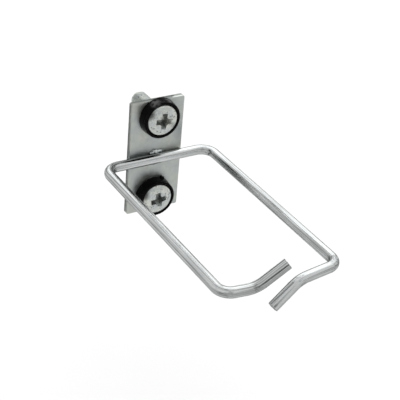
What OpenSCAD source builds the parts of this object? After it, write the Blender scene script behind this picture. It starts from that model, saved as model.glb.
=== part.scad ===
// Cable hook for a 19-inch rack upright: an open ring of bent wire, welded across the
// front of a flat steel plate that two M6 screws with plastic cup washers hold to the rail.
// Millimetres, +Z up. The origin is the middle of the plate's back face, halfway between the
// screws. The ring reaches out along -Y and the screw shanks come out of the back along +Y.

/* [Mounting plate] */
// Width of the plate
plate_w = 20.5; // [18:0.5:30]
// Height of the plate, one rack unit less its play
plate_h = 44; // [40:0.5:60]
// Thickness of the plate
plate_t = 2; // [1.5:0.1:4]
// Radius of the plate's corners
plate_corner = 0.6; // [0.2:0.1:2]
// Distance between the two screws, from the outer holes of one rack unit
screw_spacing = 31.75; // [30:0.05:38]
// How much wider than the screw the plate's holes are
hole_play = 1; // [0.4:0.1:1.4]

/* [Wire ring] */
// Diameter of the wire
wire_d = 3.6; // [3:0.1:5]
// Outside width of the ring
ring_w = 45; // [38:0.5:70]
// Outside depth of the ring's right arm, from the plate
ring_depth = 83; // [60:1:120]
// Radius of the two rear bends, to the wire's axis
rear_bend_r = 5; // [3.5:0.5:8]
// Radius of the two front bends, to the wire's axis
front_bend_r = 4.5; // [3.5:0.5:6]
// How much thinner, on the radius, the wire gets where it is stretched round a bend
bend_thin = 0.02; // [0.02:0.01:0.1]

/* [Wire ends] */
// How far the two front legs lean outwards from square
leg_lean = 7.3; // [0:0.1:12]
// How much shorter the left arm is than the right one
arm_step = 1.2; // [0:0.1:3]
// Length of the left front leg, from corner to end bend
left_leg = 11; // [9:0.5:14]
// Length of the right front leg, from corner to end bend
right_leg = 16.2; // [12:0.2:18]
// How steeply the left end rises out of the ring's plane
left_end_rise = 35.6; // [25:0.1:42]
// How steeply the right end drops out of the ring's plane
right_end_drop = 33.5; // [25:0.1:42]
// Length of the left end, from its bend to its cut
left_end_l = 12; // [9:0.1:15]
// Length of the right end, from its bend to its cut
right_end_l = 11.7; // [9:0.1:15]
// Radius of the bends before the two ends, to the wire's axis
end_bend_r = 9.5; // [6:0.5:12]
// Bevel round the two cut ends of the wire
end_bevel = 0.2; // [0.1:0.05:0.6]

/* [Weld] */
// Length of each weld along the wire
weld_l = 5.4; // [3:0.2:10]
// Radius of the largest lump of a weld
weld_r = 1.2; // [1:0.1:2]
// Number of lumps in a weld
weld_lumps = 4; // [3:1:7]

/* [Screws] */
// Thread diameter of the screws
screw_d = 6; // [5:0.5:6]
// Pitch of that thread
thread_pitch = 1; // [0.5:0.05:1.25]
// Length of the screws under the head
screw_l = 16; // [12:1:25]
// Diameter of the pan heads
head_d = 11.6; // [11:0.1:13]
// Height of the pan heads
head_h = 4; // [3.6:0.1:5]
// Radius of the crown on the pan heads
crown_r = 14; // [10:1:30]
// Radius of the edge between a head's side and its crown
head_edge_r = 0.9; // [0.3:0.1:1.2]
// Width of the cross recess across opposite wings
recess_w = 6.8; // [5:0.1:7.2]
// Width of one wing of the cross recess
recess_wing = 2; // [1:0.1:2.4]
// Depth of the cross recess
recess_depth = 3; // [2:0.1:3.2]
// Bevel on the end of the shanks
tip_bevel = 0.8; // [0.3:0.1:1.2]
// Turn of the upper screw's cross recess, clockwise from upright
upper_turn = 4; // [-45:1:45]
// Turn of the lower screw's cross recess, clockwise from upright
lower_turn = -9; // [-45:1:45]

/* [Cup washers] */
// Height of the cup washers
cup_h = 3.9; // [3.2:0.1:5.5]
// Thickness of their base under the head
cup_base = 1; // [0.7:0.1:2]
// Thickness of their wall at the rim
cup_wall = 1; // [0.6:0.05:1.5]
// How much wider the foot is than the rim, on the radius
cup_flare = 0.3; // [0:0.05:0.8]
// How much wider than the head the inside of the cup is
head_play = 0.2; // [0.1:0.05:0.8]
// How much wider than the screw the hole in the base is
cup_hole_play = 0.4; // [0.2:0.1:0.8]
// Width of the moulding nub left on the foot
nub_w = 1.3; // [0.6:0.1:2]
// How far the moulding nub stands out of the foot
nub_out = 0.6; // [0.2:0.1:1]
// Place of the nub round the upper washer, clockwise from the top
upper_nub = 150; // [0:5:355]
// Place of the nub round the lower washer, clockwise from the top
lower_nub = 25; // [0:5:355]

/* [Hidden] */
$fn = 64;
eps = 0.1;                                    // how far a cut runs past the face it opens
bend_lap = 0.1;                               // how far a straight run reaches into a bend

wire_r = wire_d / 2;
screw_r = screw_d / 2;
neck_r = screw_r - 0.325 * thread_pitch;      // the thread is rolled on a blank this thick
neck_l = 3 * thread_pitch;                    // and starts this far under the head
screw_z = screw_spacing / 2;
rear_y = -plate_t - wire_r;                   // axis of the run that lies on the plate
side_x = ring_w / 2 - wire_r;                 // axis of the two arms

// Each front leg leans outwards in the ring's plane. Its end goes on in the same upright
// plane, the left one rising and the right one dropping, so the way in for cables is the
// slanted gap between the two ends.
left_lean = [cos(leg_lean), -sin(leg_lean), 0];
right_lean = [-cos(leg_lean), -sin(leg_lean), 0];
right_corner = [side_x, -plate_t - ring_depth + wire_r, 0];
left_corner = [-side_x, right_corner.y + arm_step, 0];
left_bend = left_corner + left_leg * left_lean;
right_bend = right_corner + right_leg * right_lean;
left_tip = left_bend + left_end_l * (cos(left_end_rise) * left_lean + [0, 0, sin(left_end_rise)]);
right_tip = right_bend + right_end_l * (cos(right_end_drop) * right_lean - [0, 0, sin(right_end_drop)]);

// The wire's route: its corners in order, and the bend radius at each of them
route = [left_tip, left_bend, left_corner, [-side_x, rear_y, 0],
         [side_x, rear_y, 0], right_corner, right_bend, right_tip];
bend_r = [0, end_bend_r, front_bend_r, rear_bend_r,
          rear_bend_r, front_bend_r, end_bend_r, 0];
last = len(route) - 1;

function unit(v) = v / norm(v);
// Direction of the run from corner i to the next
function run(i) = unit(route[i + 1] - route[i]);
// Angle that the wire turns through at corner i
function turn(i) = acos(run(i - 1) * run(i));
// Length that the bend at corner i takes from the straights on both sides of it
function setback(i) = bend_r[i] == 0 ? 0 : bend_r[i] * tan(turn(i) / 2);

module mounting_plate() {
  color("lightsteelblue")
    difference() {
      rotate([90, 0, 0]) linear_extrude(plate_t) plate_outline();
      for (z = [-screw_z, screw_z])
        translate([0, eps, z]) rotate([90, 0, 0])
          cylinder(r = screw_r + hole_play / 2, h = plate_t + 2 * eps);
    }
}

module plate_outline() {
  inner = [plate_w, plate_h] / 2 - [plate_corner, plate_corner];
  square([plate_w, 2 * inner.y], center = true);
  square([2 * inner.x, plate_h], center = true);
  for (x = [-inner.x, inner.x], z = [-inner.y, inner.y])
    translate([x, z]) circle(plate_corner);
}

// Straight run of the wire from corner i to the next. It starts and stops a little inside
// the bends at its ends, and a cut end is bevelled by a short cone.
module straight(i) {
  at_start = i == 0;
  at_stop = i == last - 1;
  back = at_start ? -end_bevel : bend_lap - setback(i);
  fore = norm(route[i + 1] - route[i]) - (at_stop ? end_bevel : setback(i + 1) - bend_lap);
  translate(route[i]) rotate([0, acos(run(i).z), atan2(run(i).y, run(i).x)]) {
    translate([0, 0, -back]) cylinder(r = wire_r, h = fore + back);
    if (at_start) cylinder(r1 = wire_r - end_bevel, r2 = wire_r, h = end_bevel);
    if (at_stop) translate([0, 0, fore]) cylinder(r1 = wire_r, r2 = wire_r - end_bevel, h = end_bevel);
  }
}

// Bend at corner i, where stretching leaves the wire a hair thinner. It starts out from its
// centre, along the run that comes in, and turns towards the run that goes on.
module bend(i) {
  ahead = run(i - 1);
  inwards = unit(run(i) - (run(i) * ahead) * ahead);
  centre = route[i] - setback(i) * ahead + bend_r[i] * inwards;
  upright = cross(-inwards, ahead);
  multmatrix([[-inwards.x, ahead.x, upright.x, centre.x],
              [-inwards.y, ahead.y, upright.y, centre.y],
              [-inwards.z, ahead.z, upright.z, centre.z]])
    rotate_extrude(angle = turn(i)) translate([bend_r[i], 0]) circle(wire_r - bend_thin);
}

module wire_ring() {
  color("gainsboro")
    union() {
      for (i = [0 : last - 1]) straight(i);
      for (i = [1 : last - 1]) bend(i);
    }
}

// A row of lumps that fills the corner between the wire and the plate, cut to lie against both
module weld_bead(up) {
  pitch = (weld_l - 2 * 0.7 * weld_r) / (weld_lumps - 1);
  color("darkgray")
    difference() {
      for (i = [0 : weld_lumps - 1]) {
        r = weld_r * (1 - 0.3 * pow(2 * i / (weld_lumps - 1) - 1, 2));
        translate([(i - (weld_lumps - 1) / 2) * pitch, -plate_t - 0.4 * r, up * (wire_r * 0.55 + 0.55 * r)])
          sphere(r);
      }
      translate([-weld_l, rear_y, 0]) rotate([0, 90, 0]) cylinder(r = wire_r, h = 2 * weld_l);
      translate([-weld_l, -plate_t, -4 * weld_r - wire_r])
        cube([2 * weld_l, 4 * weld_r, 2 * (4 * weld_r + wire_r)]);
    }
}

// Section of the pan head: bearing face at 0, crown on top
module head_section() {
  head_r = head_d / 2;
  crown_z = head_h - crown_r;
  intersection() {
    translate([0, crown_z]) circle(crown_r, $fn = 360);
    square([head_r, head_h]);
    union() {
      square([head_r - head_edge_r, head_h]);
      square([head_r, shoulder_z()]);
      translate([head_r - head_edge_r, shoulder_z()]) circle(head_edge_r);
    }
  }
}

// Height at which a head's side turns into its rounded edge
function shoulder_z() = let (x = head_d / 2 - head_edge_r)
  head_h - crown_r + sqrt(pow(crown_r - head_edge_r, 2) - x * x);

// Four tapered wings: a cross cut down to a cone, with a blunt cone in the middle
module cross_recess() {
  intersection() {
    cylinder(r1 = recess_wing, r2 = recess_w / 2 + eps, h = recess_depth + eps);
    for (a = [0, 90]) rotate(a)
      translate([-recess_w / 2, -recess_wing / 2, 0]) cube([recess_w, recess_wing, recess_depth + eps]);
  }
  cylinder(r1 = recess_wing * 0.5, r2 = recess_wing * 0.95, h = recess_depth + eps);
}

// A screw on the Z axis: head above 0, then the blank's neck and the outside of the thread
module pan_screw() {
  difference() {
    union() {
      rotate_extrude() head_section();
      translate([0, 0, -neck_l]) cylinder(r = neck_r, h = neck_l);
      translate([0, 0, tip_bevel - screw_l]) cylinder(r = screw_r, h = screw_l - tip_bevel - neck_l);
      translate([0, 0, -screw_l]) cylinder(r1 = screw_r - tip_bevel, r2 = screw_r, h = tip_bevel);
    }
    translate([0, 0, head_h - recess_depth]) cross_recess();
  }
}

module screw_at(z, turned) {
  color("silver")
    translate([0, -plate_t - cup_base, z]) rotate([90, 0, 0]) rotate(-turned) pan_screw();
}
module upper_screw() { screw_at(screw_z, upper_turn); }
module lower_screw() { screw_at(-screw_z, lower_turn); }

// Section of the cup washer's wall and base, with a full round on the rim
module cup_section() {
  cup_r = (head_d + head_play) / 2;
  rim_z = cup_h - cup_wall / 2;
  polygon([[0, 0], [cup_r + cup_wall + cup_flare, 0], [cup_r + cup_wall, rim_z],
           [cup_r, rim_z], [cup_r, cup_base], [0, cup_base]]);
  translate([cup_r + cup_wall / 2, rim_z]) circle(cup_wall / 2);
}

module cup_washer(nub_at) {
  foot_r = (head_d + head_play) / 2 + cup_wall + cup_flare;
  difference() {
    union() {
      rotate_extrude() cup_section();
      rotate(90 - nub_at) translate([foot_r - cup_wall, -nub_w / 2, 0])
        cube([cup_wall + nub_out, nub_w, nub_w]);
    }
    translate([0, 0, -eps]) cylinder(r = (screw_d + cup_hole_play) / 2, h = cup_base + 2 * eps);
  }
}

module washer_at(z, nub_at) {
  color("#18191b")
    translate([0, -plate_t, z]) rotate([90, 0, 0]) cup_washer(nub_at);
}
module upper_cup_washer() { washer_at(screw_z, upper_nub); }
module lower_cup_washer() { washer_at(-screw_z, lower_nub); }

module upper_weld_bead() { weld_bead(1); }
module lower_weld_bead() { weld_bead(-1); }

mounting_plate();
wire_ring();
upper_weld_bead();
lower_weld_bead();
upper_screw();
lower_screw();
upper_cup_washer();
lower_cup_washer();
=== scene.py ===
import math
import random

import bmesh
import bpy
from mathutils import Matrix, Vector


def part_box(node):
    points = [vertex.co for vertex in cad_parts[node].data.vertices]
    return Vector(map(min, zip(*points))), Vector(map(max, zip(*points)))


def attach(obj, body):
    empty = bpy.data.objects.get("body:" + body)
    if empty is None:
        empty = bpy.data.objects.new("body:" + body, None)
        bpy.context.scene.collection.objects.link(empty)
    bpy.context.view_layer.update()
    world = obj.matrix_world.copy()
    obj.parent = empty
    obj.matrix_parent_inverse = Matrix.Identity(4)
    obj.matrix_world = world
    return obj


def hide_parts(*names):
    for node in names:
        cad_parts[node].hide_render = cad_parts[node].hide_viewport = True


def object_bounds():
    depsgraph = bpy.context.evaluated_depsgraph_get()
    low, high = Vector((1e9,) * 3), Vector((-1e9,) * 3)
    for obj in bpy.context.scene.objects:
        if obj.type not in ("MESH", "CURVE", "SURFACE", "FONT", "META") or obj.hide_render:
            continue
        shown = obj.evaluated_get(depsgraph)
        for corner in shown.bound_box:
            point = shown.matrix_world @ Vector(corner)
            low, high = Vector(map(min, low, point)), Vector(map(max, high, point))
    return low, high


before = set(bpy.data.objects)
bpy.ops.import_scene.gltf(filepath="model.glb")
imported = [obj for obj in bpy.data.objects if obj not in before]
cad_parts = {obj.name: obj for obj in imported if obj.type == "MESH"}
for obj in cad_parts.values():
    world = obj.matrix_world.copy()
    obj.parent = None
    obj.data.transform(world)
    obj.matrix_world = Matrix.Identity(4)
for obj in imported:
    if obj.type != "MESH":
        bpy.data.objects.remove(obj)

CAD_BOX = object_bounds()
MM = 0.001

# How finely the pieces are made, and how near two points are taken for one, in metres
WIRE_SIDES = 64
HOLE_SIDES = 64
HEAD_SIDES = 96
SHANK_SIDES = 48
CUP_SIDES = 112
FEED_STEP = 1.5 * MM                    # along the wire's straights
BEND_STEP = math.radians(3)
SPIN_SEAM = 1e-7
THREAD_SEAM = 1e-6

# Places read from the frame, in metres
PLATE_LOW, PLATE_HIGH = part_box("mounting_plate")
RING_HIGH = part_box("wire_ring")[1]
SCREW_LOW, SCREW_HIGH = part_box("upper_screw")
CUP_LOW, CUP_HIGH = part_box("upper_cup_washer")
PLATE_FACE = PLATE_LOW.y
SCREW_Z = (SCREW_LOW.z + SCREW_HIGH.z) / 2

# The wire's route, with the sizes of the CAD ring, in metres
WIRE_R = 1.8 * MM
SIDE_X = RING_HIGH.x - WIRE_R
REAR_Y = RING_HIGH.y - WIRE_R
RING_DEPTH = 83 * MM
FRONT_Y = PLATE_FACE - RING_DEPTH + WIRE_R
REAR_BEND_R = 5 * MM
FRONT_BEND_R = 4.5 * MM
LEG_LEAN = math.radians(7.3)
ARM_STEP = 1.2 * MM                     # how much shorter the left arm is
LEFT_LEG = 11 * MM
RIGHT_LEG = 16.2 * MM
LEFT_END_RISE = math.radians(35.6)
RIGHT_END_DROP = math.radians(33.5)
LEFT_END_L = 12 * MM
RIGHT_END_L = 11.7 * MM
END_BEND_R = 9.5 * MM
END_BEVEL = 0.2 * MM
ROLLED_EDGE = ((0.12, 0.55), (0.45, 0.88), (1.0, 1.0))     # a cut end's edge, in and on, in bevels
SHEARED_RIM = 0.15 * MM

# The screws, in metres
SCREW_R = 3 * MM
PITCH = 1 * MM
THREAD_DEPTH = 0.61 * PITCH
ROOT_END = 0.18 * PITCH                 # where the root ends, and where the crest begins and ends
CREST_START = 0.5 * PITCH
CREST_END = 0.625 * PITCH
RUN_OUT = 0.8                           # how steeply the first thread rises out of the neck
TIP_BEVEL = 0.8 * MM
NECK_R = SCREW_R - 0.325 * PITCH        # the thread's pitch radius
NECK_L = 3 * PITCH
NECK_STUB = 0.4 * MM                    # how much neck the head is spun with
HEAD_R = (SCREW_HIGH.x - SCREW_LOW.x) / 2
HEAD_H = 4 * MM
HEAD_FOOT_R = 0.25 * MM
HEAD_EDGE_R = 0.9 * MM
CROWN_R = 14 * MM
RECESS_W = 6.8 * MM
RECESS_WING = 2 * MM
RECESS_DEPTH = 3 * MM
RECESS_MOUTH = (1.0, 1.04)              # the wings' shares of the recess's length and width,
RECESS_FLOOR = (0.42, 0.86)             # at its mouth and at its floor
CORE_MOUTH_R = RECESS_WING * 0.95
CORE_FLOOR_R = RECESS_WING * 0.5
CUTTER_PROUD = 0.3 * MM                 # how far the cutter stands above the head
FULL_DIRT_AND_SHADE = 1.2 * MM                    # how far down the recess its dirt and painted shade are at their darkest
UPPER_TURN = math.radians(4)
LOWER_TURN = math.radians(-9)

# The cup washers, in metres
CUP_H = CUP_HIGH.y - CUP_LOW.y
CUP_BASE = 1 * MM
CUP_WALL = 1 * MM
CUP_FLARE = 0.3 * MM
CUP_R = HEAD_R + 0.1 * MM               # the inside, with room for the head
CUP_FOOT_R = CUP_R + CUP_WALL + CUP_FLARE
CUP_HOLE_R = SCREW_R + 0.2 * MM
CUP_EASE = 0.15 * MM
CUP_SKIRT = (0.02 * MM, 0.5 * MM)       # the foot's upright skirt: how far in and how high it ends
NUB_W = 1.3 * MM
NUB_OUT = 0.6 * MM
NUB_EDGE_R = 0.3 * MM
UPPER_NUB = math.radians(150)
LOWER_NUB = math.radians(25)
SCREW_L = SCREW_HIGH.y - PLATE_FACE + CUP_BASE

# The plate, in metres
PLATE_CORNER_R = 0.6 * MM
HOLE_R = SCREW_R + 0.5 * MM
EDGE_BREAK = 0.12 * MM

# The weld's lumps, in metres
WELD_LUMPS = 9
WELD_END = 0.7 * MM                     # from the bead's end to the middle of its first lump
WELD_VOXEL = 0.09 * MM                  # how finely the lumps are fused

# Marks of making and use, each with its place and how far it reaches: where the former's tool gouged
# the wire and where the upper washer's side is rubbed; and painted shade on each head's upper left
GOUGED = ((SIDE_X, FRONT_Y, -1.5 * MM), 6 * MM)
RUB_LEFT = ((-2.6 * MM, -4.4 * MM, SCREW_Z + 6.6 * MM), 2.4 * MM)
RUB_RIGHT = ((3.2 * MM, -3.6 * MM, SCREW_Z + 6.4 * MM), 2.2 * MM)
HEAD_SHADE_UPPER = ((-5.9 * MM, -6.0 * MM, SCREW_Z + 3.4 * MM), 3.2 * MM)
HEAD_SHADE_LOWER = ((-6.1 * MM, -6.0 * MM, -SCREW_Z + 2.8 * MM), 3.2 * MM)

# The stage, in metres
FLOOR_Z = CAD_BOX[0].z - 55 * MM
FLOOR_REACH = 12                        # so far that the floor's edge stays near the horizon
FLOOR_TONE = 0.78
RAIL_X = (-17 * MM, 7 * MM)             # where the face of the rack's rail would be
RAIL_Z = (-110 * MM, 150 * MM)
RAIL_Y = -0.05 * MM                     # just inside the plate's back face
RAIL_TONE = 0.75
RAIL_PITCH = 15.875 * MM
WINDOW = 9.5 * MM
SOFTBOX_AT = (0.5, 0.5, 0.707)          # high on the right, behind the hook
DIM_AT = (-0.27, -0.88, 0.39)           # in front of the hook, close to the camera

# The camera
CAMERA_AZIMUTH = math.radians(-33.14)
CAMERA_ELEVATION = math.radians(31.51)
CAMERA_ROLL = math.radians(5.40)
CAMERA_TARGET = Vector((21.97, 0, -24.89)) * MM
CAMERA_DISTANCE = 406.31 * MM
LENS = 97.03                            # its focal length and its sensor's width, in millimetres
SENSOR = 36
CLIPPING = (0.01, 20)


# ---------------------------------------------------------------- shader arithmetic

class Value:
    """A shader socket that takes part in Python arithmetic."""

    def __init__(self, finish, socket):
        self.finish = finish
        self.socket = socket

    def _math(self, operation, *terms):
        return self.finish.node("ShaderNodeMath", {"operation": operation}, dict(enumerate(terms)))

    def __add__(self, other):
        return self._math("ADD", self, other)

    def __sub__(self, other):
        return self._math("SUBTRACT", self, other)

    def __rsub__(self, other):
        return self._math("SUBTRACT", other, self)

    def __mul__(self, other):
        return self._math("MULTIPLY", self, other)

    def __abs__(self):
        return self._math("ABSOLUTE", self)

    __radd__ = __add__
    __rmul__ = __mul__

    def most(self, other):
        return self._math("MAXIMUM", self, other)

    def rise(self, start, stop):
        """0 before start, 1 after stop, and a smooth rise between them."""
        return self.finish.node("ShaderNodeMapRange", {"interpolation_type": "SMOOTHSTEP"},
                                {"Value": self, "From Min": start, "From Max": stop})

    def from_nearest(self, pitch):
        """How far this is from the nearest place in a row with this pitch."""
        return self._math("PINGPONG", self, pitch / 2)


class Finish:
    """A node tree being built: node() makes any node, with its settings first and then its sockets."""

    MIX_FACTOR, MIX_FIRST, MIX_SECOND, MIX_RESULT = 0, 6, 7, 2      # a colour Mix node's sockets

    def __init__(self, owner):
        owner.use_nodes = True
        self.owner = owner
        self.tree = owner.node_tree
        self.tree.nodes.clear()

    def node(self, kind, settings=None, sockets=None, out=0):
        made = self.tree.nodes.new(kind)
        for key, value in (settings or {}).items():
            setattr(made, key, value)
        for key, value in (sockets or {}).items():
            if isinstance(value, Value):
                self.tree.links.new(value.socket, made.inputs[key])
            else:
                made.inputs[key].default_value = value
        return Value(self, made.outputs[out]) if made.outputs else None

    def place(self):
        """Object coordinates."""
        return self.node("ShaderNodeTexCoord", out="Object")

    def attribute(self, name, out="Fac"):
        """What a piece's points carry under this name."""
        return self.node("ShaderNodeAttribute", {"attribute_name": name}, out=out)

    def axes(self, vector):
        """The three parts of a vector, as values."""
        split = self.node("ShaderNodeSeparateXYZ", sockets={0: vector})
        return [Value(self, part) for part in split.socket.node.outputs]

    def vector(self, x, y, z):
        return self.node("ShaderNodeCombineXYZ", sockets={0: x, 1: y, 2: z})

    def grain(self, vector, scale, detail=2, rough=0.5, bend=0):
        """Noise from 0 to 1, about so many grains to the metre."""
        return self.node("ShaderNodeTexNoise", None,
                         {"Vector": vector, "Scale": scale, "Detail": detail,
                          "Roughness": rough, "Distortion": bend})

    def cells(self, vector, scale, out="Distance"):
        """Cells, about so many to the metre: the distance from a cell's middle, or the cell's colour."""
        return self.node("ShaderNodeTexVoronoi", None, {"Vector": vector, "Scale": scale}, out)

    def near(self, place, spot, reach):
        """1 at a spot, falling to 0 within its reach."""
        gap = self.node("ShaderNodeVectorMath", {"operation": "DISTANCE"}, {0: place, 1: spot}, "Value")
        return 1 - gap.rise(reach * 0.4, reach)

    def mix(self, factor, first, second):
        """Mixes two colours."""
        return self.node("ShaderNodeMix", {"data_type": "RGBA"},
                         {self.MIX_FACTOR: factor, self.MIX_FIRST: first, self.MIX_SECOND: second},
                         self.MIX_RESULT)

    def tint(self, amount, colour):
        """A colour made lighter or darker by a value."""
        shade = self.node("ShaderNodeCombineColor", sockets={0: amount, 1: amount, 2: amount})
        return self.node("ShaderNodeMix", {"data_type": "RGBA", "blend_type": "MULTIPLY"},
                         {self.MIX_FACTOR: 1.0, self.MIX_FIRST: shade, self.MIX_SECOND: colour},
                         self.MIX_RESULT)

    def bump(self, height, depth, under=None):
        """Relief: height from 0 to 1 stands for depth metres."""
        sockets = {"Height": height, "Distance": depth, "Strength": 1.0}
        if under:
            sockets["Normal"] = under
        return self.node("ShaderNodeBump", None, sockets)

    def surface(self, **sockets):
        """Ends the tree in a Principled shader, its sockets named in small letters."""
        names = {key.replace("_", " ").title().replace("Ior", "IOR"): v for key, v in sockets.items()}
        return self.end_in(self.node("ShaderNodeBsdfPrincipled", None, names))

    def end_in(self, shader):
        """Ends the tree in a shader, and gives the material or world that it belongs to."""
        kind = "World" if isinstance(self.owner, bpy.types.World) else "Material"
        self.node("ShaderNodeOutput" + kind, None, {"Surface": shader})
        return self.owner


def grey(level):
    return (level, level, level, 1.0)


def zinc(level, cast=1.0):
    """Zinc's cool grey: cast is how much of its faint blue-green shows."""
    return (level * (1 - 0.055 * cast), level * (1 + 0.004 * cast), level, 1.0)


def cream_zinc(level):
    """Zinc where its clear passivation has dried a little yellow-green."""
    return (level * 0.965, level, level * 0.925, 1.0)


# ---------------------------------------------------------------- finishes

def drawn_zinc_wire():
    """Bright zinc over drawn wire: lengthwise die lines, and skin crumpled where it was bent."""
    f = Finish(bpy.data.materials.new("drawn_zinc_wire"))
    section = f.attribute("section", "Vector")
    side, up, along = f.axes(section)
    bent = f.attribute("bent")
    cut = f.attribute("cut")

    # The wire's own marks: the less they change along it, the longer they are drawn
    fine = f.grain(f.vector(side, up, along * 0.008), 4200, rough=0.6)
    lines = f.grain(f.vector(side, up, along * 0.012), 2600, detail=1).rise(0.30, 0.70)
    patches = f.grain(f.vector(side, up, along * 0.4), 330, detail=3, rough=0.55)

    # The marks of bending, handling and cutting
    crumple = f.grain(f.vector(side, up, along * 0.35), 1500, detail=3, rough=0.6) * bent
    nick = 1 - f.cells(f.vector(side, up, along * 0.35), 900).rise(0.05, 0.17)
    nick = nick * f.grain(section, 150, detail=1).rise(0.46, 0.60)
    shear = f.grain(f.vector(side * 0.25, up, along), 4200, detail=4, rough=0.6, bend=0.4)
    scored = 1 - abs(f.grain(f.vector(side, up, along * 0.3), 1300, rough=0.6) - 0.5).rise(0.02, 0.07)
    rubbed = f.near(f.place(), *GOUGED)
    gouge = scored * rubbed

    shade = 1 + 1.20 * (fine - 0.5) + 0.62 * (lines - 0.5) + 0.50 * (patches - 0.5)
    shade = shade * (1 - 0.35 * nick) * (1 - 0.36 * crumple.rise(0.46, 0.58)) * (1 - 0.70 * gouge)
    shade = shade * (1 - cut * (0.15 + 0.5 * (shear - 0.4)))
    rough = 0.15 + 0.08 * lines + 0.12 * (patches - 0.4).most(0)
    rough = rough + 0.22 * cut + 0.25 * nick + 0.10 * bent + 0.16 * rubbed
    relief = f.bump(lines, 0.03 * MM)
    relief = f.bump(fine, 0.02 * MM, relief)
    relief = f.bump(patches - nick + crumple * 3 - gouge, 0.014 * MM, relief)
    relief = f.bump(shear * cut, 0.08 * MM, relief)
    return f.surface(base_color=f.tint(shade, zinc(0.42, 0.5)), metallic=1.0,
                     roughness=rough, normal=relief, specular_tint=grey(0.58))


def galvanised_sheet():
    """Dull zinc sheet: faint spangle, rolling lines along it, and sheared edges round it."""
    f = Finish(bpy.data.materials.new("galvanised_sheet"))
    place = f.place()
    x, y, z = f.axes(place)
    spangle = f.axes(f.cells(place, 520, out="Color"))[0]
    cloud = f.grain(place, 160, detail=3, rough=0.55)
    rolled = f.grain(f.vector(x, y, z * 0.03), 2600, detail=3, rough=0.6)
    scuffs = f.grain(f.vector(x * 0.2 + z * 0.9, y, z * 0.08 - x), 900, detail=3, rough=0.6)
    scuff = scuffs.rise(0.66, 0.74)
    half_w, half_h = PLATE_HIGH.x, PLATE_HIGH.z
    skin = 0.02 * MM
    rim = abs(x).rise(half_w - EDGE_BREAK, half_w - skin).most(
        abs(z).rise(half_h - EDGE_BREAK, half_h - skin))
    torn = rim * y.rise(PLATE_FACE * 0.62, PLATE_FACE * 0.5)        # the shear tore the back half
    tearing = f.grain(f.vector(x * 2, y * 0.6, z * 2), 1500, detail=4, rough=0.65)

    shade = 0.92 + 0.12 * (spangle - 0.5) + 0.16 * (cloud - 0.5) + 0.10 * (rolled - 0.5)
    shade = shade * (1 - 0.16 * scuff) * (1 - torn * (0.2 + 0.35 * tearing))
    rough = 0.41 + 0.10 * (cloud - 0.5) + 0.06 * (spangle - 0.5) + 0.22 * torn + 0.08 * scuff
    relief = f.bump(rolled, 0.004 * MM)
    relief = f.bump(cloud + spangle * 0.3, 0.012 * MM, relief)
    relief = f.bump(tearing * torn, 0.06 * MM, relief)
    colour = f.mix(cloud.rise(0.3, 0.7), zinc(0.435, 1.3), cream_zinc(0.465))
    return f.surface(base_color=f.tint(shade, colour), metallic=1.0, roughness=rough, normal=relief)


def weld_metal():
    """Fused steel under thin zinc: glossy nuggets with dark slag in the valleys."""
    f = Finish(bpy.data.materials.new("weld_metal"))
    place = f.place()
    lumps = f.grain(place, 900, detail=3, rough=0.6)
    slag = f.grain(place, 1700).rise(0.54, 0.68)
    shade = (0.80 + 0.9 * (lumps - 0.3)) * (1 - 0.55 * slag)
    rough = 0.16 + 0.22 * lumps + 0.25 * slag
    relief = f.bump(lumps, 0.05 * MM)
    return f.surface(base_color=f.tint(shade, zinc(0.55)), metallic=1.0,
                     roughness=rough, normal=relief)


def satin_zinc_screw():
    """Cold-headed steel under satin zinc: mottled, with dark specks, a recess darkened by dirt and painted
    shade, and painted shade on each head's upper left.
    """
    f = Finish(bpy.data.materials.new("satin_zinc_screw"))
    place = f.place()
    depth = f.attribute("recess")
    cloud = f.grain(place, 420, detail=3, rough=0.55)
    mottle = f.grain(place, 2000, detail=3, rough=0.6)
    specks = 1 - f.cells(place, 1050).rise(0.16, 0.42)
    speck = specks * f.grain(place, 380).rise(0.46, 0.58)
    # painted shade: each head's upper left is darkened as if shaded by its washer's rim
    head_shade = f.near(place, *HEAD_SHADE_UPPER).most(f.near(place, *HEAD_SHADE_LOWER))

    shade = 0.98 + 0.50 * (cloud - 0.5) + 1.10 * (mottle - 0.5)
    # the recess darkens with its depth: partly dirt, partly painted shade
    shade = shade * (1 - 0.70 * speck) * (1 - 0.32 * depth) * (1 - 0.80 * head_shade)
    rough = 0.30 + 0.14 * (mottle - 0.5) + 0.2 * speck + 0.12 * depth
    relief = f.bump(mottle - speck * 0.8, 0.018 * MM)
    colour = f.mix(cloud.rise(0.36, 0.60), zinc(0.50, 1.0), cream_zinc(0.51))
    return f.surface(base_color=f.tint(shade, colour), metallic=1.0,
                     roughness=rough, normal=relief)


def moulded_black():
    """Glossy black nylon: faint flow marks and a few dull rubs."""
    f = Finish(bpy.data.materials.new("moulded_black"))
    place = f.place()
    x, y, z = f.axes(place)
    flow = f.grain(f.vector(x, y * 0.4, z), 420, detail=3, rough=0.55)
    pores = f.grain(place, 5200)
    rub = f.near(place, *RUB_LEFT).most(0.8 * f.near(place, *RUB_RIGHT))
    rub = rub * f.grain(place, 900, detail=3, rough=0.6).rise(0.30, 0.60)
    rough = 0.18 + 0.14 * (flow - 0.5) + 0.18 * rub
    relief = f.bump(flow, 0.02 * MM)
    relief = f.bump(pores, 0.0025 * MM, relief)
    return f.surface(base_color=f.mix(rub, grey(0.0015), grey(0.075)), metallic=0.0,
                     roughness=rough, normal=relief, specular_ior_level=0.04)


# ---------------------------------------------------------------- mesh helpers

def only(kind, geom):
    """The parts of one kind in what an operator made."""
    return [part for part in geom if isinstance(part, kind)]


def edges_round(verts):
    return list({e for v in verts for e in v.link_edges})


def mesh_from(bm, name):
    """Ends a bmesh in a mesh."""
    mesh = bpy.data.meshes.new(name)
    bm.to_mesh(mesh)
    bm.free()
    return mesh


def in_scene(name, data):
    """A new object, linked to the scene."""
    made = bpy.data.objects.new(name, data)
    bpy.context.scene.collection.objects.link(made)
    return made


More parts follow.
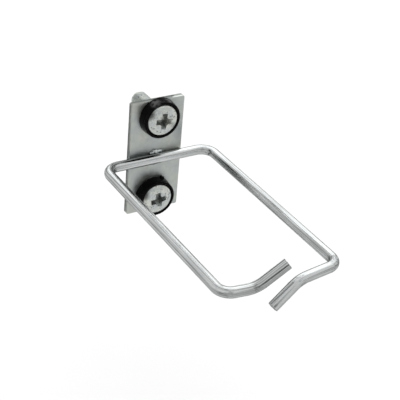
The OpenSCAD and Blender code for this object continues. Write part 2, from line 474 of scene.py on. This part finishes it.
def finished(bm, name, material, node, smooth_deg):
    """Makes a shaped mesh a piece that stands for a CAD node: edges past smooth_deg stay sharp."""
    bmesh.ops.recalc_face_normals(bm, faces=bm.faces)
    for face in bm.faces:
        face.smooth = True
    for edge in bm.edges:
        if len(edge.link_faces) == 2:
            edge.smooth = edge.calc_face_angle(0) < math.radians(smooth_deg)
    piece = in_scene(name, mesh_from(bm, name))
    piece.data.materials.append(material)
    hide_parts(node)
    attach(piece, "root")
    return piece


def turned(bm, points, steps, climb=0, seam=SPIN_SEAM):
    """Spins a chain of (radius, height) points right round the Z axis, and up it by the climb."""
    verts = [bm.verts.new((r, 0, h)) for r, h in points]
    edges = [bm.edges.new(pair) for pair in zip(verts, verts[1:])]
    bmesh.ops.spin(bm, geom=verts + edges, cent=(0, 0, 0), axis=(0, 0, 1), dvec=(0, 0, climb / steps),
                   angle=math.tau, steps=steps, use_merge=not climb, use_duplicate=False)
    bmesh.ops.remove_doubles(bm, verts=bm.verts, dist=seam)


def arc(centre, radius, start, stop, steps):
    """Points on an arc, from start to stop in degrees."""
    angles = [math.radians(start + (stop - start) * i / steps) for i in range(steps + 1)]
    return [(centre[0] + radius * math.cos(a), centre[1] + radius * math.sin(a)) for a in angles]


def facing_front(z, turn=0.0):
    """From a piece's own axis along +Z to its place on the plate's face, pointing to -Y."""
    stand = Matrix.Rotation(math.radians(90), 4, "X") @ Matrix.Rotation(turn, 4, "Z")
    return Matrix.Translation((0, PLATE_FACE, z)) @ stand


# ---------------------------------------------------------------- wire ring

def wire_route():
    """The route's corners and the bend radius at each, worked out as the CAD ring's are."""
    up = Vector((0, 0, 1))
    left_lean = Vector((math.cos(LEG_LEAN), -math.sin(LEG_LEAN), 0))
    right_lean = Vector((-math.cos(LEG_LEAN), -math.sin(LEG_LEAN), 0))
    right_corner = Vector((SIDE_X, FRONT_Y, 0))
    left_corner = Vector((-SIDE_X, right_corner.y + ARM_STEP, 0))
    left_bend = left_corner + LEFT_LEG * left_lean
    right_bend = right_corner + RIGHT_LEG * right_lean
    left_tip = left_bend + LEFT_END_L * (math.cos(LEFT_END_RISE) * left_lean
                                         + math.sin(LEFT_END_RISE) * up)
    right_tip = right_bend + RIGHT_END_L * (math.cos(RIGHT_END_DROP) * right_lean
                                            - math.sin(RIGHT_END_DROP) * up)
    corners = [left_tip, left_bend, left_corner, Vector((-SIDE_X, REAR_Y, 0)),
               Vector((SIDE_X, REAR_Y, 0)), right_corner, right_bend, right_tip]
    radii = [0, END_BEND_R, FRONT_BEND_R, REAR_BEND_R, REAR_BEND_R, FRONT_BEND_R, END_BEND_R, 0]
    return corners, radii


class WireMill:
    """Feeds a round section along a route and bends it, as a wire former does.

    Each point keeps its place in the section and along the wire, and how bent and how cut it is.
    """

    def __init__(self, start, direction):
        self.bm = bmesh.new()
        self.section = self.bm.verts.layers.float_vector.new("section")
        self.bent = self.bm.verts.layers.float.new("bent")
        self.cut = self.bm.verts.layers.float.new("cut")
        self.along = 0.0
        self.at = start.copy()
        self.direction = direction.copy()
        ring = bmesh.ops.create_circle(self.bm, segments=WIRE_SIDES, radius=WIRE_R,
                                       cap_ends=False)["verts"]
        for v in ring:
            v[self.section] = (v.co.x, v.co.y, 0)
        stand = direction.to_track_quat("Z", "Y").to_matrix().to_4x4()
        bmesh.ops.transform(self.bm, matrix=Matrix.Translation(start) @ stand, verts=ring)
        self.edges = edges_round(ring)
        self.first_edges = list(self.edges)

    def extrude(self, edges):
        """Gives a loop of edges a copy of itself to draw out: the copy's edges and points."""
        made = bmesh.ops.extrude_edge_only(self.bm, edges=edges)["geom"]
        return only(bmesh.types.BMEdge, made), only(bmesh.types.BMVert, made)

    def push(self, matrix, length, bent):
        """Draws the end on by one move."""
        self.edges, ring = self.extrude(self.edges)
        bmesh.ops.transform(self.bm, matrix=matrix, verts=ring)
        self.along += length
        for v in ring:
            v[self.section] = (v[self.section].x, v[self.section].y, self.along)
            v[self.bent] = bent

    def straight(self, length):
        count = max(1, round(length / FEED_STEP))
        move = length / count * self.direction
        for _ in range(count):
            self.push(Matrix.Translation(move), length / count, 0.0)
        self.at += length * self.direction

    def bend(self, radius, onward):
        """Bends on to a new direction: the skin is worked most in the bend's middle."""
        axis = self.direction.cross(onward).normalized()
        angle = self.direction.angle(onward)
        centre = self.at + radius * axis.cross(self.direction)
        count = math.ceil(angle / BEND_STEP)
        turn = Matrix.Rotation(angle / count, 4, axis)
        swing = Matrix.Translation(centre) @ turn @ Matrix.Translation(-centre)
        for i in range(count):
            bent = math.sin(math.pi * (i + 1) / count) ** 0.5
            self.push(swing, radius * angle / count, bent)
            self.at = swing @ self.at
        self.direction = onward.copy()

    def close(self, edges, outwards):
        """Closes a cut end: a rolled-over edge, then the sheared face."""
        ring = list({v for e in edges for v in e.verts})
        centre = sum((v.co for v in ring), Vector()) / len(ring)
        for inset, forward in ROLLED_EDGE:
            edges, ring = self.extrude(edges)
            for v in ring:
                out = v.co - centre
                out -= out.dot(outwards) * outwards
                spoke = out.normalized() * (WIRE_R - inset * END_BEVEL)
                v.co = centre + spoke + outwards * forward * END_BEVEL
                v[self.cut] = inset
        face = bmesh.ops.edgeloop_fill(self.bm, edges=edges)["faces"]
        inner = bmesh.ops.inset_region(self.bm, faces=face, thickness=SHEARED_RIM, depth=0,
                                       use_even_offset=True)["faces"]
        for v in {v for f in face + inner for v in f.verts}:
            v[self.cut] = 1.0


def bent_wire(material):
    """The ring, bent from one length of wire: each straight stops short of its corners' bends."""
    corners, radii = wire_route()
    last = len(corners) - 1
    runs = [(stop - start).normalized() for start, stop in zip(corners, corners[1:])]
    setback = [0.0] * (last + 1)
    for i in range(1, last):
        setback[i] = radii[i] * math.tan(runs[i - 1].angle(runs[i]) / 2)
    mill = WireMill(corners[0] + END_BEVEL * runs[0], runs[0])
    for i in range(last):
        length = (corners[i + 1] - corners[i]).length - setback[i] - setback[i + 1]
        if i in (0, last - 1):
            length -= END_BEVEL
        mill.straight(length)
        if i + 1 < last:
            mill.bend(radii[i + 1], runs[i + 1])
    mill.close(mill.first_edges, -runs[0])
    mill.close(mill.edges, runs[-1])
    finished(mill.bm, "bent_wire", material, "wire_ring", smooth_deg=30)


# ---------------------------------------------------------------- plate

def rounded_outline(bm, half_w, half_h, radius):
    """A loop of edges round an oblong with round corners."""
    points = []
    for right, up, start in ((1, 1, 0), (-1, 1, 90), (-1, -1, 180), (1, -1, 270)):
        centre = (right * (half_w - radius), up * (half_h - radius))
        points += arc(centre, radius, start, start + 90, steps=8)
    verts = [bm.verts.new((x, 0, z)) for x, z in points]
    return [bm.edges.new(pair) for pair in zip(verts, verts[1:] + verts[:1])]


def sheet_plate(material):
    """The plate: its outline and holes filled, drawn to its thickness, with its edges eased."""
    bm = bmesh.new()
    edges = rounded_outline(bm, PLATE_HIGH.x, PLATE_HIGH.z, PLATE_CORNER_R)
    for z in (-SCREW_Z, SCREW_Z):
        hole = bmesh.ops.create_circle(bm, segments=HOLE_SIDES, radius=HOLE_R, cap_ends=False)["verts"]
        stand = Matrix.Translation((0, 0, z)) @ Matrix.Rotation(math.radians(90), 4, "X")
        bmesh.ops.transform(bm, matrix=stand, verts=hole)
        edges += edges_round(hole)
    filled = bmesh.ops.triangle_fill(bm, use_beauty=True, use_dissolve=False, edges=edges)["geom"]
    drawn = bmesh.ops.extrude_face_region(bm, geom=only(bmesh.types.BMFace, filled))["geom"]
    bmesh.ops.translate(bm, vec=(0, PLATE_FACE, 0), verts=only(bmesh.types.BMVert, drawn))
    bmesh.ops.recalc_face_normals(bm, faces=bm.faces)
    sharp = [e for e in bm.edges if e.calc_face_angle(0) > math.radians(60)]
    bmesh.ops.bevel(bm, geom=sharp, offset=EDGE_BREAK, offset_type="OFFSET", segments=3, profile=0.5,
                    affect="EDGES", material=-1, clamp_overlap=True)
    finished(bm, "sheet_plate", material, "mounting_plate", smooth_deg=32)


# ---------------------------------------------------------------- weld

def weld_nuggets(name, node, up, material):
    """Lumps of weld metal along the corner between the wire and the plate, fused together."""
    draw = random.Random(7 if up > 0 else 11)
    low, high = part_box(node)
    bm = bmesh.new()
    for i in range(WELD_LUMPS):
        share = i / (WELD_LUMPS - 1)
        x = low.x + WELD_END + (high.x - low.x - 2 * WELD_END) * share
        swell = 1 - 0.35 * (2 * share - 1) ** 2         # the lumps shrink towards both ends
        r = draw.uniform(0.70, 1.05) * MM * swell
        rise = WIRE_R * 0.80 + draw.uniform(0.45, 1.05) * MM * swell
        lump = bmesh.ops.create_icosphere(bm, subdivisions=3, radius=r)["verts"]
        stretch = Matrix.Diagonal((draw.uniform(0.8, 1.15), 0.95, draw.uniform(0.8, 1.1), 1))
        place = Vector((x, PLATE_FACE - draw.uniform(0.25, 0.55) * MM, up * rise))
        bmesh.ops.transform(bm, matrix=Matrix.Translation(place) @ stretch, verts=lump)
    piece = finished(bm, name, material, node, smooth_deg=180)
    fuse = piece.modifiers.new("fuse", "REMESH")
    fuse.mode = "VOXEL"
    fuse.voxel_size = WELD_VOXEL
    fuse.use_smooth_shade = True
    melt = piece.modifiers.new("melt", "SMOOTH")
    melt.factor = 0.5
    melt.iterations = 4


# ---------------------------------------------------------------- screws

def head_profile():
    """The pan head's section above its bearing face, from the neck out and over to the axis."""
    crown_z = HEAD_H - CROWN_R
    edge_x = HEAD_R - HEAD_EDGE_R
    shoulder = crown_z + math.sqrt((CROWN_R - HEAD_EDGE_R) ** 2 - edge_x ** 2)
    lean = math.degrees(math.atan2(shoulder - crown_z, edge_x))
    foot_x = HEAD_R - HEAD_FOOT_R
    points = [(NECK_R, 0), (foot_x, 0)]
    points += arc((foot_x, HEAD_FOOT_R), HEAD_FOOT_R, -90, 0, steps=4)[1:]
    points += arc((edge_x, shoulder), HEAD_EDGE_R, 0, lean, steps=8)
    points += arc((0, crown_z), CROWN_R, lean, 90, steps=20)[1:]
    return points


def threaded_shank(bm):
    """One turn of a long ridged chain that climbs by a pitch, so each ridge meets the next.

    The chain has spare ridges at both ends, which are cut off at the neck and at the tip.
    """
    top, tip = -NECK_L, -SCREW_L
    root = SCREW_R - THREAD_DEPTH
    points = []
    for i in range(round((top - tip) / PITCH) + 3):
        h = tip - 1.5 * PITCH + i * PITCH
        points += [(root, h), (root, h + ROOT_END), (SCREW_R, h + CREST_START), (SCREW_R, h + CREST_END)]
    turned(bm, points, SHANK_SIDES, climb=PITCH, seam=THREAD_SEAM)
    for height, up in ((top, 1), (tip, -1)):
        everything = list(bm.verts) + list(bm.edges) + list(bm.faces)
        bmesh.ops.bisect_plane(bm, geom=everything, dist=SPIN_SEAM, plane_co=(0, 0, height),
                               plane_no=(0, 0, up), clear_outer=True, clear_inner=False)
    for v in bm.verts:
        r = math.hypot(v.co.x, v.co.y)
        reach = min(SCREW_R - TIP_BEVEL + (v.co.z - tip), NECK_R + RUN_OUT * (top - v.co.z))
        if r > reach:
            v.co.x *= reach / r
            v.co.y *= reach / r


def cross_cutter():
    """Four tapered wings and a blunt middle, the shape of the driver's tip."""
    bm = bmesh.new()
    floor, top = HEAD_H - RECESS_DEPTH, HEAD_H + CUTTER_PROUD
    for turn in (0, math.radians(90)):
        wing = bmesh.ops.create_cube(bm, size=1)["verts"]
        for v in wing:
            level, (length, width) = (top, RECESS_MOUTH) if v.co.z > 0 else (floor, RECESS_FLOOR)
            v.co = Vector((math.copysign(RECESS_W / 2 * length, v.co.x),
                           math.copysign(RECESS_WING / 2 * width, v.co.y), level))
        bmesh.ops.rotate(bm, verts=wing, cent=(0, 0, 0), matrix=Matrix.Rotation(turn, 3, "Z"))
    core = bmesh.ops.create_cone(bm, cap_ends=True, segments=24, radius1=CORE_FLOOR_R,
                                 radius2=CORE_MOUTH_R, depth=top - floor)["verts"]
    bmesh.ops.translate(bm, verts=core, vec=(0, 0, (top + floor) / 2))
    return in_scene("cross_cutter", mesh_from(bm, "cross_cutter"))


def cut_by(blank, cutter):
    """The blank's mesh with the cutter's solid taken out of it: both objects are used up."""
    cut = blank.modifiers.new("recess", "BOOLEAN")
    cut.operation = "DIFFERENCE"
    cut.solver = "EXACT"
    cut.use_self = True
    cut.object = cutter
    bpy.context.view_layer.update()
    depsgraph = bpy.context.evaluated_depsgraph_get()
    result = bpy.data.meshes.new_from_object(blank.evaluated_get(depsgraph))
    bpy.data.objects.remove(cutter)
    bpy.data.objects.remove(blank)
    return result


def driven_head():
    """The spun head on a stub of neck, with the cross recess cut into it."""
    bm = bmesh.new()
    turned(bm, [(0, -NECK_STUB), (NECK_R, -NECK_STUB)] + head_profile(), HEAD_SIDES)
    bmesh.ops.recalc_face_normals(bm, faces=bm.faces)
    return cut_by(in_scene("blank", mesh_from(bm, "blank")), cross_cutter())


def pan_screw(name, node, z, turn, material):
    """A pan-head screw: spun head, driven cross, threaded shank."""
    head_mesh = driven_head()
    bm = bmesh.new()
    threaded_shank(bm)
    turned(bm, [(0, -SCREW_L), (SCREW_R - TIP_BEVEL, -SCREW_L)], SHANK_SIDES, seam=THREAD_SEAM)
    turned(bm, [(NECK_R, -NECK_L), (NECK_R, 0)], SHANK_SIDES)
    bm.from_mesh(head_mesh)
    bpy.data.meshes.remove(head_mesh)
    recess = bm.verts.layers.float.new("recess")
    for v in bm.verts:
        r = math.hypot(v.co.x, v.co.y)
        skin = HEAD_H - CROWN_R + math.sqrt(max(CROWN_R ** 2 - r ** 2, 0))
        if r < RECESS_W / 2 and v.co.z > 0:
            v[recess] = min(max((skin - v.co.z) / FULL_DIRT_AND_SHADE, 0), 1)
    lift = Matrix.Translation((0, 0, CUP_BASE))
    bmesh.ops.transform(bm, matrix=facing_front(z, -turn) @ lift, verts=bm.verts)
    finished(bm, name, material, node, smooth_deg=28)


# ---------------------------------------------------------------- cup washers

def cup_profile():
    """The washer's section: hole, flat base, flared wall, round rim, and the seat inside."""
    ease = CUP_EASE
    skirt_in, skirt_high = CUP_SKIRT
    points = [(CUP_HOLE_R, ease), (CUP_HOLE_R + ease, 0), (CUP_FOOT_R - ease, 0), (CUP_FOOT_R, ease),
              (CUP_FOOT_R - skirt_in, skirt_high)]
    points += arc((CUP_R + CUP_WALL / 2, CUP_H - CUP_WALL / 2), CUP_WALL / 2, 0, 180, steps=14)
    points += [(CUP_R, CUP_BASE + 2 * ease)]
    points += [(CUP_R - ease, CUP_BASE + 0.3 * ease), (CUP_R - 2 * ease, CUP_BASE)]
    points += [(CUP_HOLE_R + ease, CUP_BASE), (CUP_HOLE_R, CUP_BASE - ease), (CUP_HOLE_R, ease)]
    return points


def cup_washer(name, node, z, nub_at, material):
    """A moulded cup washer with the nub that its gate left on the foot."""
    bm = bmesh.new()
    turned(bm, cup_profile(), CUP_SIDES)
    nub = bmesh.ops.create_cube(bm, size=1)["verts"]
    size = Matrix.Diagonal((CUP_WALL + NUB_OUT, NUB_W, NUB_W, 1))
    place = Matrix.Translation((CUP_FOOT_R + (NUB_OUT - CUP_WALL) / 2, 0, NUB_W / 2))
    bmesh.ops.transform(bm, matrix=place @ size, verts=nub)
    rounded = bmesh.ops.bevel(bm, geom=edges_round(nub), offset=NUB_EDGE_R, offset_type="OFFSET",
                              segments=3, profile=0.5, affect="EDGES", material=-1)["verts"]
    nub = list({v for f in bm.faces for v in f.verts if v in set(rounded)})
    bmesh.ops.rotate(bm, verts=nub, cent=(0, 0, 0),
                     matrix=Matrix.Rotation(math.radians(90) - nub_at, 3, "Z"))
    bmesh.ops.transform(bm, matrix=facing_front(z), verts=bm.verts)
    finished(bm, name, material, node, smooth_deg=40)


# ---------------------------------------------------------------- the stage

def board(name, corners):
    """A flat board between corners, given in order round it."""
    bm = bmesh.new()
    bmesh.ops.contextual_create(bm, geom=[bm.verts.new(corner) for corner in corners])
    made = in_scene(name, mesh_from(bm, name))
    return made


def stage_floor():
    """A wide pale floor well below the hook, which keeps its soft shadow."""
    floor = board("floor", [(x * FLOOR_REACH, y * FLOOR_REACH, FLOOR_Z)
                            for x, y in ((-1, -1), (1, -1), (1, 1), (-1, 1))])
    f = Finish(bpy.data.materials.new("pale_floor"))
    floor.data.materials.append(f.surface(base_color=grey(FLOOR_TONE), roughness=0.9,
                                          specular_ior_level=0.0))


def rail_card():
    """A grey card with the rail's square windows, where the rack would be: only reflections see it."""
    (low_x, high_x), (low_z, high_z) = RAIL_X, RAIL_Z
    card = board("rail_card", [(low_x, RAIL_Y, low_z), (low_x, RAIL_Y, high_z),
                               (high_x, RAIL_Y, high_z), (high_x, RAIL_Y, low_z)])
    card.visible_camera = False
    card.visible_diffuse = False
    card.visible_transmission = False
    card.visible_shadow = False
    f = Finish(bpy.data.materials.new("grey_card"))
    front = f.node("ShaderNodeBsdfDiffuse", None, {"Color": grey(RAIL_TONE)})
    behind = f.node("ShaderNodeBsdfTransparent")
    facing = f.node("ShaderNodeNewGeometry", out="Backfacing")
    x, _, z = f.axes(f.place())
    edge = (WINDOW * 0.48, WINDOW * 0.52)
    window = (1 - abs(x).rise(*edge)) * (1 - (z - SCREW_Z).from_nearest(RAIL_PITCH).rise(*edge))
    shader = f.node("ShaderNodeMixShader", None, {0: facing.most(window), 1: front, 2: behind})
    card.data.materials.append(f.end_in(shader))


def studio_light():
    """A pale room, with a wide soft light high on the right behind the hook and a dim spot in front."""
    world = bpy.data.worlds.new("studio")
    bpy.context.scene.world = world
    f = Finish(world)
    sky = f.axes(f.node("ShaderNodeTexCoord", out="Generated"))

    def towards(direction):
        """1 where the room is looked at straight in this direction, and less away from it."""
        x, y, z = [part * share for part, share in zip(sky, direction)]
        return x + y + z

    softbox = towards(SOFTBOX_AT).rise(0.66, 0.93)
    dim = towards(DIM_AT).rise(0.955, 0.985)
    level = (0.76 + 0.28 * sky[2].rise(0.05, 0.40) + 1.25 * softbox) * (1 - 0.7 * dim)
    f.end_in(f.node("ShaderNodeBackground", None, {"Color": (1, 1, 1, 1), "Strength": level}))


def camera():
    """The camera, aimed at a point beside the ring's middle, with the hook turned a little in its view."""
    flat = math.cos(CAMERA_ELEVATION)
    back = Vector((math.sin(CAMERA_AZIMUTH) * flat, -math.cos(CAMERA_AZIMUTH) * flat,
                   math.sin(CAMERA_ELEVATION)))
    right = Vector((0, 0, 1)).cross(back).normalized()
    up = back.cross(right)
    right, up = (math.cos(CAMERA_ROLL) * right + math.sin(CAMERA_ROLL) * up,
                 -math.sin(CAMERA_ROLL) * right + math.cos(CAMERA_ROLL) * up)
    data = bpy.data.cameras.new("camera")
    data.lens = LENS
    data.sensor_width = SENSOR
    data.clip_start, data.clip_end = CLIPPING
    eye = in_scene("camera", data)
    eye.matrix_world = Matrix.Translation(CAMERA_TARGET + CAMERA_DISTANCE * back) @ Matrix(
        (right, up, back)).transposed().to_4x4()
    bpy.context.scene.camera = eye


def main():
    camera()
    studio_light()
    stage_floor()
    rail_card()
    bent_wire(drawn_zinc_wire())
    sheet_plate(galvanised_sheet())
    weld = weld_metal()
    screw = satin_zinc_screw()
    plastic = moulded_black()
    weld_nuggets("upper_weld", "upper_weld_bead", 1, weld)
    weld_nuggets("lower_weld", "lower_weld_bead", -1, weld)
    pan_screw("upper_pan_screw", "upper_screw", SCREW_Z, UPPER_TURN, screw)
    pan_screw("lower_pan_screw", "lower_screw", -SCREW_Z, LOWER_TURN, screw)
    cup_washer("upper_cup", "upper_cup_washer", SCREW_Z, UPPER_NUB, plastic)
    cup_washer("lower_cup", "lower_cup_washer", -SCREW_Z, LOWER_NUB, plastic)
    bpy.context.scene.view_settings.view_transform = "Standard"


main()
bpy.context.view_layer.update()
